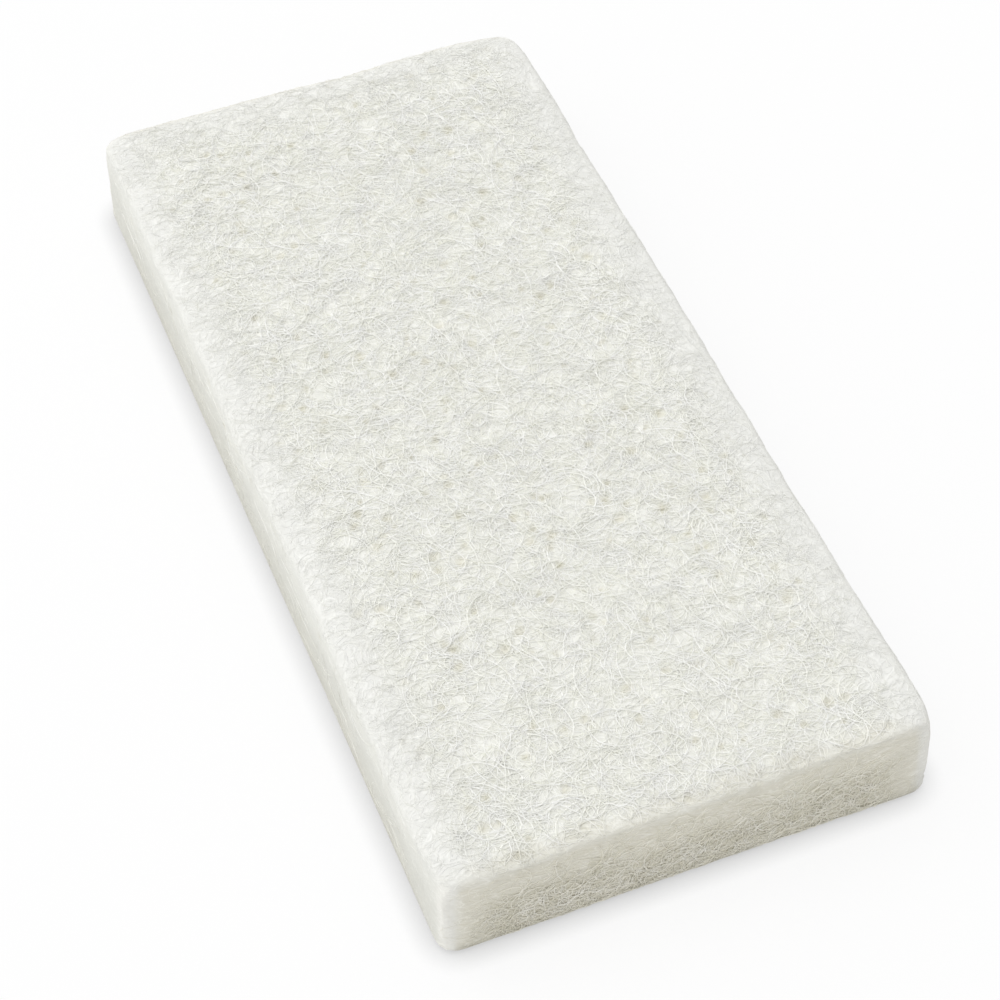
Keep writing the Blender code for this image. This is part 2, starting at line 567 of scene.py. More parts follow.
class ShellFaces:
    """Works out how far each point of the shell belongs to the pad's faces, rims and corners."""

    def __init__(self, mesh: bpy.types.Mesh, limits: FaceLimits) -> None:
        """Reads the shell and measures what all the weights need.

        Args:
            mesh: the even shell.
            limits: where the faces pass into each other.
        """
        count = len(mesh.vertices)
        place, normal = np.empty(count * 3, np.float32), np.empty(count * 3, np.float32)
        mesh.vertices.foreach_get("co", place)
        mesh.vertex_normals.foreach_get("vector", normal)
        place, normal = place.reshape(-1, 3), normal.reshape(-1, 3)
        high = place.max(axis=0)
        self.limits = limits
        self.up = normal[:, 2]
        self.turn = 1.0 - (normal ** 2).max(axis=1)
        self.share_up = place[:, 2] / high[2]
        self.from_corner = high[0] - np.abs(place[:, 0])
        self.from_end = high[1] - np.abs(place[:, 1])
        self.inset = np.minimum(self.from_corner, self.from_end)
        sideways = np.abs(normal[:, 0]) - np.abs(normal[:, 1])
        self.facing = sideways / np.maximum(np.hypot(normal[:, 0], normal[:, 1]), limits.least_lean)
        self.along = fade(*limits.turn_to_side, sideways)
        self.away = 1.0 - self.along
        (steep, upright), (steeper, shift) = limits.upright_slope, limits.upright_slope_at_ends
        self.level = 1.0 - fade(steep + steeper * self.away, upright + shift * self.away, np.abs(self.up))
        self.back = fade(*limits.back_half, place[:, 1])
        self.fringe = self.from_end + limits.fringe_depth * self.ragged(place[:, 0])
        # Low on the short ends: where the curls start and where the body takes painted shade.
        self.lower_ends = (
            self.level * self.away
            * (1.0 - fade(*limits.lower_end_height, self.share_up))
            * fade(*limits.lower_end_corner, self.from_corner)
        )
        # Rims that face up, and the back rim: where the body takes its painted light and the fibres lie close.
        self.light_slope = fade(*limits.light_rim_slope, self.up)
        self.back_rim = self.back * self.light_slope * (1.0 - fade(*limits.back_rim_inset, self.fringe))

    def ragged(self, value: np.ndarray) -> np.ndarray:
        """Runs unevenly between about -1 and 1, like the fringe of a torn web."""
        waves = zip(self.limits.fringe_waves, self.limits.fringe_starts)
        return 0.5 * sum(np.sin(value / wave + start) for wave, start in waves)

    def strand_regions(self) -> dict[str, np.ndarray]:
        """Weighs the regions on which free strands start.

        Returns:
            A weight from 0 to 1 for each point, by region.
        """
        limits, away, level = self.limits, self.away, self.level
        low, high = limits.top_slope
        top = fade(low + limits.top_slope_at_ends * away, high, self.up)
        least = limits.top_at_corner
        low, high = limits.rim_slope
        rim = fade(low + limits.rim_slope_at_ends * away, high, self.up)
        rim_least = limits.rim_at_sides
        return {
            Region.TOP.value: top * (least + (1.0 - least) * fade(*limits.top_corner, self.from_corner)),
            Region.RIM.value: (
                rim * (1.0 - fade(*limits.rim_inset, self.inset)) * (rim_least + (1.0 - rim_least) * away)
            ),
            Region.LONG_SIDES.value: level * self.along * fade(*limits.long_side_end, self.from_end),
            Region.SHORT_ENDS.value: level * away * fade(*limits.short_end_corner, self.from_corner),
            Region.LOWER_ENDS.value: self.lower_ends,
            Region.UNDERSIDE.value: fade(*limits.underside_slope, -self.up),
        }

    def colour_faces(self) -> dict[str, np.ndarray]:
        """Weighs where the body's colours paint light and shade: shade on the long sides, the short ends and
        towards the bench, light on the rims that face up and on the upright corners. Also weighs where the web
        shows its layers.

        Returns:
            A weight from 0 to 1 for each point, by face.
        """
        limits, away, level, along = self.limits, self.away, self.level, self.along
        least = limits.side_face_at_end
        bench_reach = self.from_end + limits.near_bench_lead
        end_rims = (
            fade(*limits.end_rim_slope, self.up)
            * (1.0 - fade(*limits.end_rim_inset, self.fringe))
            * fade(*limits.end_rim_corner, self.from_corner)
        )
        return {
            # Painted shade on the long sides, weaker on their upper half and near the ends.
            "on_side_faces": (
                level * along
                * (1.0 - limits.side_face_loss * fade(*limits.upper_half, self.share_up))
                * (least + (1.0 - least) * fade(*limits.side_face_end, self.from_end))
            ),
            # Painted light on the rims that face up and on the back rim.
            "on_light_rims": np.maximum(
                self.light_slope * (1.0 - fade(*limits.light_rim_corner, self.from_corner)), self.back_rim
            ),
            # Painted shade: darker towards the bottom of the long sides, by the bench.
            "near_bench": (
                level * along
                * (1.0 - fade(*limits.near_bench_height, self.share_up))
                * fade(*limits.near_bench_end, bench_reach)
            ),
            # Painted shade: darker, warmer short ends and the front end's rim.
            "on_end_faces": np.maximum(level * away, limits.end_rim_share * (1.0 - self.back) * end_rims),
            # Painted shade: darkest at the foot of the short ends.
            "at_bench": away * (1.0 - fade(*limits.at_bench_height, self.share_up)),
            # Painted light: paler on the upright corners.
            "on_corners": (
                (1.0 - fade(*limits.corner_slope, np.abs(self.up)))
                * fade(*limits.corner_from_end, self.facing)
                * (1.0 - fade(*limits.corner_to_side, self.facing))
            ),
            "layered": level - limits.layer_loss * self.lower_ends,
        }

    def quiet_spots(self) -> np.ndarray:
        """Weighs where free strands lie close and take the tone of the body: light rims and soft corners."""
        limits = self.limits
        on_rims, on_back_rim, on_corners = limits.quiet_shares
        rims = on_rims * self.light_slope * (1.0 - fade(*limits.quiet_rim_corner, self.from_corner))
        corners = self.away * (1.0 - fade(*limits.quiet_end_corner, self.from_corner))
        corners = corners + self.along * (1.0 - fade(*limits.quiet_side_end, self.from_end))
        return np.maximum(np.maximum(rims, on_back_rim * self.back_rim), on_corners * self.level * corners)

    def filled_rims(self) -> np.ndarray:
        """Weighs the rims above the bench, which evening wears down."""
        limits = self.limits
        return fade(*limits.filled_rim_turn, self.turn) * fade(*limits.filled_rim_height, self.share_up)


@dataclass
class PadBody:
    """The pad's mass: the CAD solid's form with pores and lumps, drawn in to leave room for the free strands."""

    pores: Pores
    finish: BodyFinish
    cell: float = 1.25 * MM
    draw_in: float = 0.3 * MM
    lump_span: float = 3.2 * MM
    lump_depth: float = 0.15 * MM
    lump_detail: float = 1.0
    rim_fill: float = 0.8 * MM
    evening: int = 9
    relief_start: float = 0.5 * MM
    fade_height: float = 3.0 * MM
    fill: float = 0.9
    limits: FaceLimits = FaceLimits()
    pulls: tuple[CornerPull, ...] = (
        CornerPull(1.0, -1.0, (0.45 * MM, -0.2 * MM)),
        CornerPull(1.0, 1.0, (0.1 * MM, -0.85 * MM)),
    )
    pull_from_side: Limits = (5 * MM, 27 * MM)
    pull_from_end: Limits = (4 * MM, 20 * MM)

    def shell(self) -> bpy.types.Mesh:
        """Copies the CAD node's mesh, merges its loose triangles and cuts it into even cells."""
        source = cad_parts[NODE].data
        bm = bmesh.new()
        bm.from_mesh(source)
        bmesh.ops.remove_doubles(bm, verts=bm.verts, dist=SAME_POINT)
        bmesh.ops.recalc_face_normals(bm, faces=bm.faces)
        merged = bpy.data.meshes.new("pad_form")
        bm.to_mesh(merged)
        bm.free()
        merged.materials.clear()
        holder = bpy.data.objects.new("pad_form", merged)
        bpy.context.scene.collection.objects.link(holder)
        remesh = holder.modifiers.new("even cells", "REMESH")
        remesh.mode = "VOXEL"
        remesh.voxel_size = self.cell
        remesh.use_smooth_shade = True
        graph = bpy.context.evaluated_depsgraph_get()
        even = bpy.data.meshes.new_from_object(holder.evaluated_get(graph))
        bpy.data.objects.remove(holder, do_unlink=True)
        return even

    def pull_corners(self, mesh: bpy.types.Mesh) -> None:
        """Moves the corners that lie a little off.

        Args:
            mesh: the even shell.
        """
        place = np.empty(len(mesh.vertices) * 3, np.float32)
        mesh.vertices.foreach_get("co", place)
        place = place.reshape(-1, 3)
        high = place.max(axis=0)
        for pull in self.pulls:
            near_side = 1.0 - fade(*self.pull_from_side, high[0] - pull.side * place[:, 0])
            near_end = 1.0 - fade(*self.pull_from_end, high[1] - pull.end * place[:, 1])
            place[:, :2] += (near_side * near_end)[:, None] * np.array(pull.shift, np.float32)
        mesh.vertices.foreach_set("co", place.ravel())
        mesh.update()

    def weigh(self, mesh: bpy.types.Mesh) -> None:
        """Stores on each point how far it belongs to each face, quiet spot and filled rim.

        Args:
            mesh: the even shell.
        """
        faces = ShellFaces(mesh, self.limits)
        weights = {
            **faces.strand_regions(),
            **faces.colour_faces(),
            "quiet": faces.quiet_spots(),
            "on_upper_rims": faces.filled_rims(),
        }
        for name, values in weights.items():
            layer = mesh.attributes.new(name, "FLOAT", "POINT")
            layer.data.foreach_set("value", values.astype(np.float32))

    def relief_tree(self) -> bpy.types.NodeTree:
        """Builds the tree that draws the shell in and gives it pores and lumps."""
        tree, given = start_tree(
            "web_relief",
            {
                "Draw in": "Float", "Pore span": "Float", "Pore reach": "Float", "Pore depth": "Float",
                "Lump span": "Float", "Lump depth": "Float", "Fade height": "Float", "Evening": "Int",
                "Rim fill": "Float", "Material": "Material",
            },
        )
        even = add_node(
            tree, "GeometryNodeBlurAttribute", {"data_type": "FLOAT_VECTOR"},
            {0: add_node(tree, "GeometryNodeInputPosition"), "Iterations": given["Evening"]},
        )
        place = add_node(tree, "GeometryNodeInputPosition")
        normal = add_node(tree, "GeometryNodeInputNormal")
        height = add_node(tree, "ShaderNodeSeparateXYZ", inputs={0: place}, output=2)
        # The part that lies on the bench keeps its true form.
        free = add_node(
            tree, "ShaderNodeMath", {"operation": "GREATER_THAN"}, {0: height, 1: given["Fade height"]}
        )
        evened = add_node(
            tree, "GeometryNodeSetPosition",
            inputs={"Geometry": given["Carrier"], "Selection": free, "Position": even},
        )
        pit = pore_share(tree, place, given)
        lump_scale = add_node(
            tree, "ShaderNodeMath", {"operation": "DIVIDE"}, {0: 1.0, 1: given["Lump span"]}
        )
        noise = add_node(
            tree, "ShaderNodeTexNoise", {"noise_dimensions": "3D"},
            {"Vector": place, "Scale": lump_scale, "Detail": self.lump_detail},
        )
        middle = add_node(tree, "ShaderNodeMath", {"operation": "SUBTRACT"}, {0: noise, 1: NOISE_MIDDLE})
        lump = add_node(
            tree, "ShaderNodeMath", {"operation": "MULTIPLY"}, {0: middle, 1: given["Lump depth"]}
        )
        sunk = add_node(tree, "ShaderNodeMath", {"operation": "MULTIPLY"}, {0: pit, 1: given["Pore depth"]})
        uneven = add_node(tree, "ShaderNodeMath", {"operation": "SUBTRACT"}, {0: lump, 1: sunk})
        # Evening wears the rims down, so they are filled again.
        on_rim = add_node(
            tree, "GeometryNodeInputNamedAttribute", {"data_type": "FLOAT"}, {"Name": "on_upper_rims"}
        )
        uneven = add_node(
            tree, "ShaderNodeMath", {"operation": "MULTIPLY_ADD"}, {0: on_rim, 1: given["Rim fill"], 2: uneven}
        )
        above = add_node(
            tree, "ShaderNodeMapRange", {"interpolation_type": "SMOOTHSTEP"},
            {"Value": height, "From Min": self.relief_start, "From Max": given["Fade height"]},
        )
        faded = add_node(tree, "ShaderNodeMath", {"operation": "MULTIPLY"}, {0: uneven, 1: above})
        shift = add_node(tree, "ShaderNodeMath", {"operation": "SUBTRACT"}, {0: faded, 1: given["Draw in"]})
        offset = add_node(tree, "ShaderNodeVectorMath", {"operation": "SCALE"}, {0: normal, "Scale": shift})
        # The pore share, also the weight of the body's painted pore shade.
        marked = add_node(
            tree, "GeometryNodeStoreNamedAttribute", {"data_type": "FLOAT", "domain": "POINT"},
            {"Geometry": evened, "Name": "pore", "Value": pit},
        )
        moved = add_node(tree, "GeometryNodeSetPosition", inputs={"Geometry": marked, "Offset": offset})
        end_tree(tree, moved, given["Material"])
        return tree

    def build(self) -> bpy.types.Object:
        """Makes and dresses the body.

        Returns:
            The finished piece, whose mesh is also the carrier that the fibres crawl over.
        """
        shell = self.shell()
        self.pull_corners(shell)
        self.weigh(shell)
        mesh = run_tree(
            shell,
            self.relief_tree(),
            {
                "Draw in": self.draw_in,
                "Pore span": self.pores.span,
                "Pore reach": self.pores.reach,
                "Pore depth": self.pores.depth,
                "Lump span": self.lump_span,
                "Lump depth": self.lump_depth,
                "Fade height": self.fade_height,
                "Evening": self.evening,
                "Rim fill": self.rim_fill,
                "Material": self.finish.build(),
            },
            "pad_web_body",
        )
        piece = place_piece(mesh)
        return piece


def pore_share(
    tree: bpy.types.NodeTree, place: bpy.types.NodeSocket, given: dict[str, Any]
) -> bpy.types.NodeSocket:
    """Finds how deep in a pore a point lies.

    Args:
        tree: the tree to add to.
        place: the point.
        given: the pores' span and reach, as numbers or sockets.

    Returns:
        A socket from 0 outside the pores to 1 at a pore's middle.
    """
    centre, reach = nearest_pore(tree, place, given)
    away = add_node(
        tree, "ShaderNodeVectorMath", {"operation": "DISTANCE"}, {0: place, 1: centre}, output=1
    )
    return add_node(
        tree,
        "ShaderNodeMapRange",
        {"interpolation_type": "SMOOTHSTEP"},
        {"Value": away, "From Min": 0.0, "From Max": reach, "To Min": 1.0, "To Max": 0.0},
    )


def nearest_pore(
    tree: bpy.types.NodeTree, place: bpy.types.NodeSocket, given: dict[str, Any]
) -> tuple[bpy.types.NodeSocket, bpy.types.NodeSocket]:
    """Finds the pore nearest to a point.

    Args:
        tree: the tree to add to.
        place: the point.
        given: the pores' span and reach, as numbers or sockets.

    Returns:
        Sockets for the pore's middle and for its own reach, which differs from pore to pore.
    """
    scale = add_node(tree, "ShaderNodeMath", {"operation": "DIVIDE"}, {0: 1.0, 1: given["Pore span"]})
    centre = add_node(
        tree, "ShaderNodeTexVoronoi", {"voronoi_dimensions": "3D", "feature": "F1"},
        {"Vector": place, "Scale": scale}, output="Position",
    )
    chance = add_node(tree, "ShaderNodeSeparateXYZ", inputs={0: centre.node.outputs["Color"]})
    share = add_node(
        tree, "ShaderNodeMapRange", inputs={"Value": chance, "To Min": LEAST_PORE_SHARE, "To Max": 1.0}
    )
    reach = add_node(tree, "ShaderNodeMath", {"operation": "MULTIPLY"}, {0: share, 1: given["Pore reach"]})
    return centre, reach


def place_piece(mesh: bpy.types.Mesh) -> bpy.types.Object:
    """Puts a finished mesh into the scene as a piece of the pad.

    Args:
        mesh: the mesh, already in its place.

    Returns:
        The piece, which rides on the pad's body and stands for its solid.
    """
    piece = bpy.data.objects.new(mesh.name, mesh)
    bpy.context.scene.collection.objects.link(piece)
    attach(piece, BODY)
    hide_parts(NODE)
    return piece


@dataclass
class FibreWeb:
    """A layer of free strands that crawl over the pad's body.

    Lengths are in metres and the density is in fibres for each square metre. Each fibre starts at a random
    point of its region, keeps close to the body, bends at its own rate, steers round the pores, and dips in
    at both ends. The grain is the share by which it starts out level. Home is the upward part of its own
    face's direction, and the fence is how strongly it is turned back when it leaves that face. The weave span
    is the way along which it rises and sinks.
    """

    name: str
    region: Region
    finish: StrandFinish
    density: float
    seed: int
    steps: int = 7
    thickness: float = 0.115 * MM
    height_low: float = 0.0
    height_high: float = 0.8 * MM
    bend_tight: float = 2.5 * MM
    bend_loose: float = 25.0 * MM
    stride_least: float = 0.9 * MM
    stride_most: float = 2.0 * MM
    grain: float = 0.0
    home: float = 1.0
    fence: float = 1.5
    weave_span: float = 5.0 * MM

    def build(self, carrier: bpy.types.Mesh, tree: bpy.types.NodeTree, pores: Pores) -> bpy.types.Object:
        """Makes and dresses the layer.

        Args:
            carrier: the body's mesh.
            tree: the tree that makes fibres crawl.
            pores: the open spots to steer round.

        Returns:
            The finished piece.
        """
        mesh = run_tree(
            carrier,
            tree,
            {
                "Region": self.region.value,
                "Density": self.density,
                "Seed": self.seed,
                "Steps": self.steps,
                "Thickness": self.thickness,
                "Height low": self.height_low,
                "Height high": self.height_high,
                "Bend tight": self.bend_tight,
                "Bend loose": self.bend_loose,
                "Stride least": self.stride_least,
                "Stride most": self.stride_most,
                "Grain": self.grain,
                "Home": self.home,
                "Fence": self.fence,
                "Weave span": self.weave_span,
                "Pore span": pores.span,
                "Pore reach": pores.reach,
                "Material": self.finish.build(pores),
            },
            self.name,
        )
        for name in [a.name for a in mesh.attributes if a.name.startswith("walk_")]:
            mesh.attributes.remove(mesh.attributes[name])
        return place_piece(mesh)


class Draw(Enum):
    """What is drawn at random for a fibre. The value is added to the seed, so that each draw differs."""

    HEADING = 7
    RADIUS = 11
    SIDE = 13
    PHASE = 17
    THICKNESS = 19
    TINT = 23
    WAY = 101


class CrawlTree:
    """Geometry Nodes that lay fibres on a carrier: points walk over it step by step and leave a trail."""

    INPUTS = {
        "Region": "String", "Density": "Float", "Seed": "Int", "Steps": "Int", "Thickness": "Float",
        "Height low": "Float", "Height high": "Float", "Bend tight": "Float", "Bend loose": "Float",
        "Stride least": "Float", "Stride most": "Float", "Grain": "Float", "Home": "Float", "Fence": "Float",
        "Weave span": "Float", "Pore span": "Float", "Pore reach": "Float", "Material": "Material",
    }
    # Fibres differ in thickness between these shares, and a stride is this share of the bend's radius.
    THICKNESS_SHARES = (0.7, 1.2)
    STRIDE_SHARE = 0.4
    # Each fibre reads the weave at a place of its own, and its wandering at another.
    PHASES = 200.0
    WANDER_SHIFT = 500.0
    # A bend grows and eases between these shares of itself.
    SWING_SHARES = (0.2, 1.7)
    # Over this share of its way from either end a fibre rises, from this share of its height.
    DIP_WAY = 0.28
    DIP_SHARE = 0.1
    # How far the surface may turn from a fibre's own face before the fibre counts as leaving it.
    LEAVING_LIMITS = (0.02, 0.45)
    # A fibre that leaves keeps this share of its height and thickness.
    HUG_SHARE = 0.25
    # Fibres stay this many thicknesses above the bench.
    BENCH_CLEARANCE = 1.3
    # The share of the way out of a pore by which each step is pushed.
    PORE_PUSH = 0.45
    # A strand has three sides, and each fibre's cell of the OFBake map is used between these shares.
    SIDES = 3
    CELL_LIMITS = (0.1, 0.9)

    def __init__(self) -> None:
        """Builds the tree."""
        self.tree, self.given = start_tree("crawling_fibres", self.INPUTS)
        walkers = self.start_walkers()
        trail = self.walk(walkers)
        strands = self.thicken(trail, walkers)
        end_tree(self.tree, strands, self.given["Material"])

    def seed(self, draw: Draw) -> bpy.types.NodeSocket:
        """The seed of one draw."""
        return add_node(
            self.tree, "ShaderNodeMath", {"operation": "ADD"}, {0: self.given["Seed"], 1: draw.value}
        )

    def chance(self, low: float, high: float, draw: Draw) -> bpy.types.NodeSocket:
        """Draws a random number for each fibre.

        Args:
            low: the lowest value.
            high: the highest value.
            draw: what it is drawn for.

        Returns:
            The random value's socket.
        """
        seed = self.seed(draw)
        return add_node(
            self.tree, "FunctionNodeRandomValue", {"data_type": "FLOAT"}, {2: low, 3: high, 8: seed}, output=1
        )

    def keep(
        self, shape: bpy.types.NodeSocket, name: str, value: bpy.types.NodeSocket, kind: str = "FLOAT"
    ) -> bpy.types.NodeSocket:
        """Stores a value on each point.

        Args:
            shape: the points.
            name: the attribute's name.
            value: the value.
            kind: its type.

        Returns:
            The points with the attribute.
        """
        return add_node(
            self.tree, "GeometryNodeStoreNamedAttribute", {"data_type": kind, "domain": "POINT"},
            {"Geometry": shape, "Name": name, "Value": value},
        )

    def kept(self, name: str, kind: str = "FLOAT") -> bpy.types.NodeSocket:
        """The value that was stored under a name."""
        return add_node(self.tree, "GeometryNodeInputNamedAttribute", {"data_type": kind}, {"Name": name})

    def start_walkers(self) -> bpy.types.NodeSocket:
        """Scatters the starts of the fibres and gives each its heading, bend, stride, tint and thickness."""
        tree, given = self.tree, self.given
        density = add_node(
            tree, "ShaderNodeMath", {"operation": "MULTIPLY"},
            {0: given["Density"], 1: add_node(
                tree, "GeometryNodeInputNamedAttribute", {"data_type": "FLOAT"}, {"Name": given["Region"]}
            )},
        )
        points = add_node(
            tree, "GeometryNodeDistributePointsOnFaces", {"distribute_method": "RANDOM"},
            {"Mesh": given["Carrier"], "Density": density, "Seed": given["Seed"]},
        )
        normal = points.node.outputs["Normal"]
        seed = self.seed(Draw.WAY)
        random_way = add_node(
            tree, "FunctionNodeRandomValue", {"data_type": "FLOAT_VECTOR"},
            {0: (-1.0, -1.0, -1.0), 1: (1.0, 1.0, 1.0), 8: seed},
        )
        across = add_node(
            tree, "ShaderNodeVectorMath", {"operation": "CROSS_PRODUCT"}, {0: normal, 1: random_way}
        )
        across = add_node(tree, "ShaderNodeVectorMath", {"operation": "NORMALIZE"}, {0: across})
        turned = add_node(
            tree, "ShaderNodeVectorRotate", {"rotation_type": "AXIS_ANGLE"},
            {"Vector": across, "Axis": normal, "Angle": self.chance(0.0, math.tau, Draw.HEADING)},
        )
        level = add_node(
            tree, "ShaderNodeVectorMath", {"operation": "CROSS_PRODUCT"}, {0: normal, 1: (0.0, 0.0, 1.0)}
        )
        level = add_node(tree, "ShaderNodeVectorMath", {"operation": "NORMALIZE"}, {0: level})
        facing = add_node(
            tree, "ShaderNodeVectorMath", {"operation": "DOT_PRODUCT"}, {0: turned, 1: level}, output=1
        )
        sign = add_node(tree, "ShaderNodeMath", {"operation": "SIGN"}, {0: facing})
        pull = add_node(tree, "ShaderNodeMath", {"operation": "MULTIPLY"}, {0: sign, 1: given["Grain"]})
        rest = add_node(tree, "ShaderNodeMath", {"operation": "SUBTRACT"}, {0: 1.0, 1: given["Grain"]})
        free = add_node(tree, "ShaderNodeVectorMath", {"operation": "SCALE"}, {0: turned, "Scale": rest})
        laid = add_node(tree, "ShaderNodeVectorMath", {"operation": "SCALE"}, {0: level, "Scale": pull})
        heading = add_node(tree, "ShaderNodeVectorMath", {"operation": "ADD"}, {0: free, 1: laid})
        heading = add_node(tree, "ShaderNodeVectorMath", {"operation": "NORMALIZE"}, {0: heading})

        ratio = add_node(
            tree, "ShaderNodeMath", {"operation": "DIVIDE"}, {0: given["Bend loose"], 1: given["Bend tight"]}
        )
        power = add_node(
            tree, "ShaderNodeMath", {"operation": "POWER"}, {0: ratio, 1: self.chance(0.0, 1.0, Draw.RADIUS)}
        )
        radius = add_node(tree, "ShaderNodeMath", {"operation": "MULTIPLY"}, {0: given["Bend tight"], 1: power})
        side = add_node(tree, "ShaderNodeMath", {"operation": "SIGN"}, {0: self.chance(-1.0, 1.0, Draw.SIDE)})
        bend = add_node(tree, "ShaderNodeMath", {"operation": "DIVIDE"}, {0: side, 1: radius})
        stride = add_node(tree, "ShaderNodeMath", {"operation": "MULTIPLY"}, {0: radius, 1: self.STRIDE_SHARE})
        stride = add_node(
            tree, "ShaderNodeClamp", inputs={0: stride, 1: given["Stride least"], 2: given["Stride most"]}
        )

        points = self.keep(points, "walk_fibre", add_node(tree, "GeometryNodeInputIndex"), "INT")
        points = self.keep(points, "walk_normal", normal, "FLOAT_VECTOR")
        points = self.keep(points, "walk_heading", heading, "FLOAT_VECTOR")
        points = self.keep(points, "walk_bend", bend)
        points = self.keep(points, "walk_stride", stride)
        points = self.keep(points, "walk_phase", self.chance(0.0, self.PHASES, Draw.PHASE))
        points = self.keep(points, "walk_thick", self.chance(*self.THICKNESS_SHARES, Draw.THICKNESS))
        return self.keep(points, "tint", self.chance(0.0, 1.0, Draw.TINT))

    def near(
        self, kind: str, value: bpy.types.NodeSocket, place: bpy.types.NodeSocket
    ) -> bpy.types.NodeSocket:
        """Reads a value off the carrier where it is nearest to a place.

        Args:
            kind: the value's type.
            value: the value on the carrier.
            place: the place.

        Returns:
            The value's socket.
        """
        return add_node(
            self.tree, "GeometryNodeSampleNearestSurface", {"data_type": kind},
            {"Mesh": self.given["Carrier"], "Value": value, "Sample Position": place},
        )

    def walk(self, walkers: bpy.types.NodeSocket) -> bpy.types.NodeSocket:
        """Lets the walkers step over the carrier.

        Args:
            walkers: the points at their starts.

        Returns:
            All their stops, each with its share of the way.
        """
        tree, given = self.tree, self.given
        zone_in = tree.nodes.new("GeometryNodeRepeatInput")
        zone_out = tree.nodes.new("GeometryNodeRepeatOutput")
        zone_in.pair_with_output(zone_out)
        zone_out.repeat_items.new("GEOMETRY", "Trail")
        stops = add_node(tree, "ShaderNodeMath", {"operation": "ADD"}, {0: given["Steps"], 1: 1.0})
        tree.links.new(stops, zone_in.inputs["Iterations"])
        tree.links.new(walkers, zone_in.inputs["Geometry"])
        current, trail = zone_in.outputs["Geometry"], zone_in.outputs["Trail"]

        place = add_node(tree, "GeometryNodeInputPosition")
        normal = self.kept("walk_normal", "FLOAT_VECTOR")
        heading = self.kept("walk_heading", "FLOAT_VECTOR")
        phase = self.kept("walk_phase")
        along = add_node(
            tree, "ShaderNodeMath", {"operation": "DIVIDE"},
            {0: zone_in.outputs["Iteration"], 1: given["Steps"]},
        )
        weave_scale = add_node(
            tree, "ShaderNodeMath", {"operation": "DIVIDE"}, {0: 1.0, 1: given["Weave span"]}
        )
        weave = add_node(
            tree, "ShaderNodeTexNoise", {"noise_dimensions": "4D"},
            {"Vector": place, "W": phase, "Scale": weave_scale, "Detail": 0.0},
        )
        height = add_node(
            tree, "ShaderNodeMapRange",
            inputs={"Value": weave, "From Min": NOISE_LIMITS[0], "From Max": NOISE_LIMITS[1],
                    "To Min": given["Height low"], "To Max": given["Height high"]},
        )
        left = add_node(tree, "ShaderNodeMath", {"operation": "SUBTRACT"}, {0: 1.0, 1: along})
        end = add_node(tree, "ShaderNodeMath", {"operation": "MINIMUM"}, {0: along, 1: left})
        dip = add_node(
            tree, "ShaderNodeMapRange",
            inputs={"Value": end, "From Min": 0.0, "From Max": self.DIP_WAY, "To Min": self.DIP_SHARE},
        )
        rise = add_node(tree, "ShaderNodeMath", {"operation": "MULTIPLY"}, {0: height, 1: dip})
        # A fibre that leaves its own face, or crosses a quiet spot, is thinner and lies closer to the body.
        turned_up = add_node(tree, "ShaderNodeSeparateXYZ", inputs={0: normal}, output=2)
        leaving = add_node(tree, "ShaderNodeMath", {"operation": "SUBTRACT"}, {0: given["Home"], 1: turned_up})
        leaving = add_node(tree, "ShaderNodeMath", {"operation": "ABSOLUTE"}, {0: leaving})
        leaving = add_node(
            tree, "ShaderNodeMapRange", {"interpolation_type": "SMOOTHSTEP"},
            {"Value": leaving, "From Min": self.LEAVING_LIMITS[0], "From Max": self.LEAVING_LIMITS[1]},
        )
        quiet = self.near("FLOAT", self.kept("quiet"), place)
        leaving = add_node(tree, "ShaderNodeMath", {"operation": "MAXIMUM"}, {0: leaving, 1: quiet})
        hug = add_node(
            tree, "ShaderNodeMapRange", inputs={"Value": leaving, "To Min": 1.0, "To Max": self.HUG_SHARE}
        )
        rise = add_node(tree, "ShaderNodeMath", {"operation": "MULTIPLY"}, {0: rise, 1: hug})
        offset = add_node(tree, "ShaderNodeVectorMath", {"operation": "SCALE"}, {0: normal, "Scale": rise})
        raised = add_node(tree, "ShaderNodeVectorMath", {"operation": "ADD"}, {0: place, 1: offset})
        bench = add_node(
            tree, "ShaderNodeMath", {"operation": "MULTIPLY"}, {0: given["Thickness"], 1: self.BENCH_CLEARANCE}
        )
        lowest = add_node(tree, "ShaderNodeCombineXYZ", inputs={0: -1.0, 1: -1.0, 2: bench})
        raised = add_node(tree, "ShaderNodeVectorMath", {"operation": "MAXIMUM"}, {0: raised, 1: lowest})
        stop = add_node(tree, "GeometryNodeSetPosition", inputs={"Geometry": current, "Position": raised})
        stop = self.keep(stop, "walk_along", along)
        stop = self.keep(stop, "walk_hug", hug)
        # Painted shade: how far the fibre has left its own face, which darkens it towards the rim tint.
        stop = self.keep(stop, "leaving", leaving)
        # Painted shade: the short ends' weight, which darkens the fibres there towards the turned tint.
        stop = self.keep(stop, "end_share", self.near("FLOAT", self.kept("on_end_faces"), place))
        longer = add_node(tree, "GeometryNodeJoinGeometry", inputs={0: [trail, stop]})

